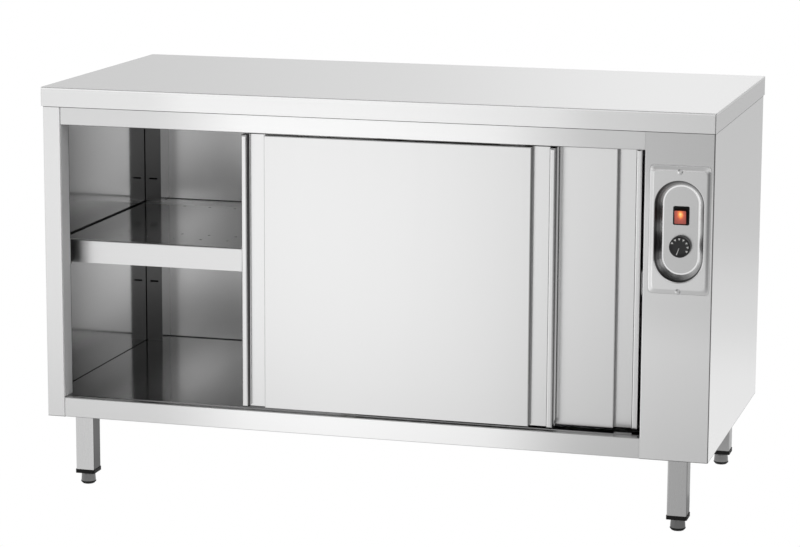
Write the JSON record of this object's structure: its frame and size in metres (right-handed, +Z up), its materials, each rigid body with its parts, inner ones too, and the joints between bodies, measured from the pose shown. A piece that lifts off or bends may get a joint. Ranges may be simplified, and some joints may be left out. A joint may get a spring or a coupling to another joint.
{
  "type": "plate warmer cabinet",
  "caption": "Free-standing stainless plate warmer counter with sliding doors, a perforated shelf, a fan heater, a recessed control panel and levelling feet.",
  "frame": {"origin": "on the floor under the middle of the worktop, feet screwed right in", "axes": "+X to the right seen from the front, +Y to the back, +Z up"},
  "size_m": [1.4, 0.65, 0.85],
  "materials": {
    "satin_steel": "satin brushed stainless sheet",
    "inner_steel": "bright annealed stainless sheet",
    "galvanised_steel": "dull zinc coated sheet",
    "foot_steel": "turned stainless sleeve on a black plastic pad",
    "bright_screws": "plated",
    "dark_element": "heat darkened tube",
    "motor_grey": "enamel",
    "particle_board": "raw particle board",
    "mineral_wool": "pressed mineral wool",
    "black_plastic": "moulded, fine texture",
    "black_knob": "moulded, half gloss, white printed marks",
    "red_lens": "clear red, lit from inside",
    "white_nylon": "moulded"
  },
  "bodies": {
    "cabinet": {"worktop": "satin_steel", "worktop_core": "particle_board", "worktop_braces": "galvanised_steel", "ceiling_panel": "inner_steel", "left_side_panel": "satin_steel", "right_side_panel": "satin_steel", "back_panel": "satin_steel", "floor_panel": "inner_steel", "base_pan": "galvanised_steel", "partition": "inner_steel", "left_stile": "satin_steel", "top_rail": "satin_steel", "bottom_rail": "satin_steel", "control_column": "satin_steel", "corner_posts": "inner_steel", "shelf": "inner_steel", "shelf_braces": "inner_steel", "shelf_clips": "inner_steel", "door_track": "inner_steel", "track_stops": "black_plastic", "door_guide": "white_nylon", "control_plate": "satin_steel", "panel_screws": "bright_screws", "switch_housing": "black_plastic", "thermostat": "black_plastic", "cable_gland": "black_plastic", "fan_housing": "galvanised_steel", "fan_motor": "motor_grey", "heating_element": "dark_element", "air_grille": "inner_steel", "service_cover": "satin_steel", "terminal_block": "white_nylon", "leg_front_left": "satin_steel", "leg_front_right": "satin_steel", "leg_rear_left": "satin_steel", "leg_rear_right": "satin_steel", "leg_caps": "black_plastic"},
    "front_door": {"front_door_skin": "satin_steel", "front_door_pulls": "satin_steel", "front_door_back": "satin_steel", "front_door_core": "mineral_wool", "front_door_hangers": "galvanised_steel"},
    "rear_door": {"rear_door_skin": "satin_steel", "rear_door_pulls": "satin_steel", "rear_door_back": "satin_steel", "rear_door_core": "mineral_wool", "rear_door_hangers": "galvanised_steel"},
    "front_roller_left": {"front_roller_left": "white_nylon"},
    "front_roller_right": {"front_roller_right": "white_nylon"},
    "rear_roller_left": {"rear_roller_left": "white_nylon"},
    "rear_roller_right": {"rear_roller_right": "white_nylon"},
    "rocker": {"rocker": "red_lens"},
    "knob": {"knob": "black_knob", "thermostat_shaft": "bright_screws"},
    "fan_rotor": {"fan_rotor": "galvanised_steel"},
    "foot_front_left": {"foot_front_left": "foot_steel"},
    "foot_front_right": {"foot_front_right": "foot_steel"},
    "foot_rear_left": {"foot_rear_left": "foot_steel"},
    "foot_rear_right": {"foot_rear_right": "foot_steel"}
  },
  "joints": [
    {"name": "front_door_slide", "type": "slide", "parent": "cabinet", "child": "front_door", "axis": [1, 0, 0], "range_m": [-0.3895, 0.1765]},
    {"name": "rear_door_slide", "type": "slide", "parent": "cabinet", "child": "rear_door", "axis": [1, 0, 0], "range_m": [-0.5795, 0.0105]},
    {"name": "front_roller_left_spin", "type": "hinge", "parent": "front_door", "child": "front_roller_left", "pos_m": [-0.1785, -0.2937, 0.7893], "axis": [0, 1, 0], "range_deg": [-2039, 929]},
    {"name": "front_roller_right_spin", "type": "hinge", "parent": "front_door", "child": "front_roller_right", "pos_m": [0.2935, -0.2937, 0.7893], "axis": [0, 1, 0], "range_deg": [-2039, 929]},
    {"name": "rear_roller_left_spin", "type": "hinge", "parent": "rear_door", "child": "rear_roller_left", "pos_m": [0.03, -0.2577, 0.7893], "axis": [0, 1, 0], "range_deg": [-3028, 65]},
    {"name": "rear_roller_right_spin", "type": "hinge", "parent": "rear_door", "child": "rear_roller_right", "pos_m": [0.4595, -0.2577, 0.7893], "axis": [0, 1, 0], "range_deg": [-3028, 65]},
    {"name": "rocker_tilt", "type": "hinge", "parent": "cabinet", "child": "rocker", "pos_m": [0.631, -0.2975, 0.643], "axis": [-1, 0, 0], "range_deg": [0, 16]},
    {"name": "knob_turn", "type": "hinge", "parent": "cabinet", "child": "knob", "pos_m": [0.631, -0.297, 0.5825], "axis": [0, 1, 0], "range_deg": [0, 270]},
    {"name": "fan_spin", "type": "hinge", "parent": "cabinet", "child": "fan_rotor", "pos_m": [0.64, 0.06, 0.335], "axis": [1, 0, 0], "continuous": true},
    {"name": "foot_front_left_height", "type": "slide", "parent": "cabinet", "child": "foot_front_left", "axis": [0, 0, -1], "range_m": [0, 0.03]},
    {"name": "foot_front_right_height", "type": "slide", "parent": "cabinet", "child": "foot_front_right", "axis": [0, 0, -1], "range_m": [0, 0.03]},
    {"name": "foot_rear_left_height", "type": "slide", "parent": "cabinet", "child": "foot_rear_left", "axis": [0, 0, -1], "range_m": [0, 0.03]},
    {"name": "foot_rear_right_height", "type": "slide", "parent": "cabinet", "child": "foot_rear_right", "axis": [0, 0, -1], "range_m": [0, 0.03]}
  ],
  "couplings": [
    {"joint": "front_roller_left_spin", "follows": "front_door_slide", "rad_per_m": 90.909},
    {"joint": "front_roller_right_spin", "follows": "front_door_slide", "rad_per_m": 90.909},
    {"joint": "rear_roller_left_spin", "follows": "rear_door_slide", "rad_per_m": 90.909},
    {"joint": "rear_roller_right_spin", "follows": "rear_door_slide", "rad_per_m": 90.909}
  ]
}
